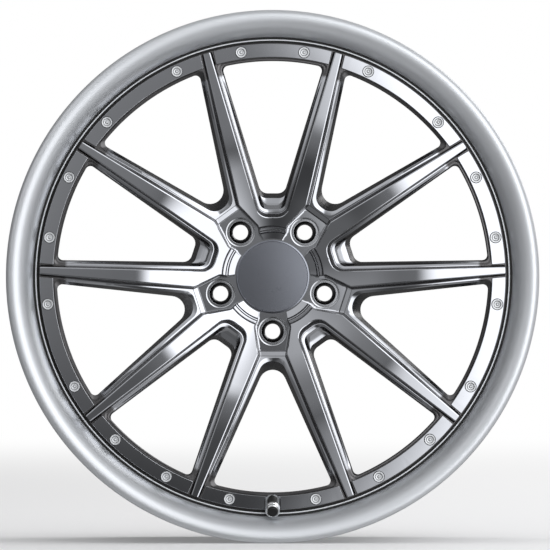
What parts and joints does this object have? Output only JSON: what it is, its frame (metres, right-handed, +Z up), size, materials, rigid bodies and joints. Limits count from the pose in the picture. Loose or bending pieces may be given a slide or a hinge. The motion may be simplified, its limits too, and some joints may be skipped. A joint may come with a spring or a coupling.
{
  "type": "wheel",
  "caption": "Three-piece forged racing wheel with paired slim spokes, a bolted centre, a stepped polished lip, a plain hub cap and a tyre valve.",
  "frame": {"origin": "the wheel's centre: on the spin axis, midway between the front and rear flange edges", "axes": "+Y along the spin axis towards the car, the wheel's face looks along -Y; +Z up with the valve at the bottom, at -Z"},
  "size_m": [0.5426, 0.254, 0.5426],
  "materials": {
    "lip_metal": "turned and brushed to a soft satin polish",
    "barrel_metal": "turned, clear anodised",
    "centre_metal": "machined and polished, dark silver",
    "bolt_metal": "satin plated",
    "steel": "zinc plated",
    "seat_steel": "machined, bright",
    "cap_metal": "smooth dark satin",
    "valve_chrome": "bright plated",
    "brass": "plain turned",
    "rubber": "matt black",
    "black_plastic": "moulded, black",
    "sealant": "cured grey bead"
  },
  "bodies": {
    "wheel": {"outer_lip": "lip_metal", "inner_barrel": "barrel_metal", "joint_seal": "sealant", "centre_disc": "centre_metal", "valve_stem": "valve_chrome", "valve_seal": "rubber", "valve_nut": "steel", "valve_bush": "rubber", "valve_sleeve": "valve_chrome", "valve_core": "brass", "lip_bolt_01": "bolt_metal", "lip_bolt_02": "bolt_metal", "lip_bolt_03": "bolt_metal", "lip_bolt_04": "bolt_metal", "lip_bolt_05": "bolt_metal", "lip_bolt_06": "bolt_metal", "lip_bolt_07": "bolt_metal", "lip_bolt_08": "bolt_metal", "lip_bolt_09": "bolt_metal", "lip_bolt_10": "bolt_metal", "lip_bolt_11": "bolt_metal", "lip_bolt_12": "bolt_metal", "lip_bolt_13": "bolt_metal", "lip_bolt_14": "bolt_metal", "lip_bolt_15": "bolt_metal", "lip_bolt_16": "bolt_metal", "lip_bolt_17": "bolt_metal", "lip_bolt_18": "bolt_metal", "lip_bolt_19": "bolt_metal", "lip_bolt_20": "bolt_metal", "lip_nut_01": "steel", "lip_nut_02": "steel", "lip_nut_03": "steel", "lip_nut_04": "steel", "lip_nut_05": "steel", "lip_nut_06": "steel", "lip_nut_07": "steel", "lip_nut_08": "steel", "lip_nut_09": "steel", "lip_nut_10": "steel", "lip_nut_11": "steel", "lip_nut_12": "steel", "lip_nut_13": "steel", "lip_nut_14": "steel", "lip_nut_15": "steel", "lip_nut_16": "steel", "lip_nut_17": "steel", "lip_nut_18": "steel", "lip_nut_19": "steel", "lip_nut_20": "steel", "lug_seat_1": "seat_steel", "lug_seat_2": "seat_steel", "lug_seat_3": "seat_steel", "lug_seat_4": "seat_steel", "lug_seat_5": "seat_steel"},
    "cap": {"centre_cap": "cap_metal", "cap_spring_ring": "steel"},
    "cap_washer": {"valve_cap_seal": "rubber"},
    "dust_cap": {"valve_cap": "black_plastic"},
    "pin": {"valve_pin": "brass"}
  },
  "joints": [
    {"name": "centre_cap_pull", "type": "slide", "parent": "wheel", "child": "cap", "axis": [0, -1, 0], "range_m": [0, 0.03]},
    {"name": "dust_cap_travel", "type": "slide", "parent": "wheel", "child": "cap_washer", "axis": [0, -0.8829, -0.4695], "range_m": [0, 0.0064]},
    {"name": "dust_cap_turn", "type": "hinge", "parent": "cap_washer", "child": "dust_cap", "pos_m": [0, -0.11066, -0.23589], "axis": [0, -0.8829, -0.4695], "range_deg": [0, 2910]},
    {"name": "valve_pin_press", "type": "slide", "parent": "wheel", "child": "pin", "axis": [0, 0.8829, 0.4695], "range_m": [0, 0.0015], "stiffness_N_per_m": 900}
  ],
  "couplings": [
    {"joint": "dust_cap_turn", "follows": "dust_cap_travel", "rad_per_m": 7915.8}
  ]
}
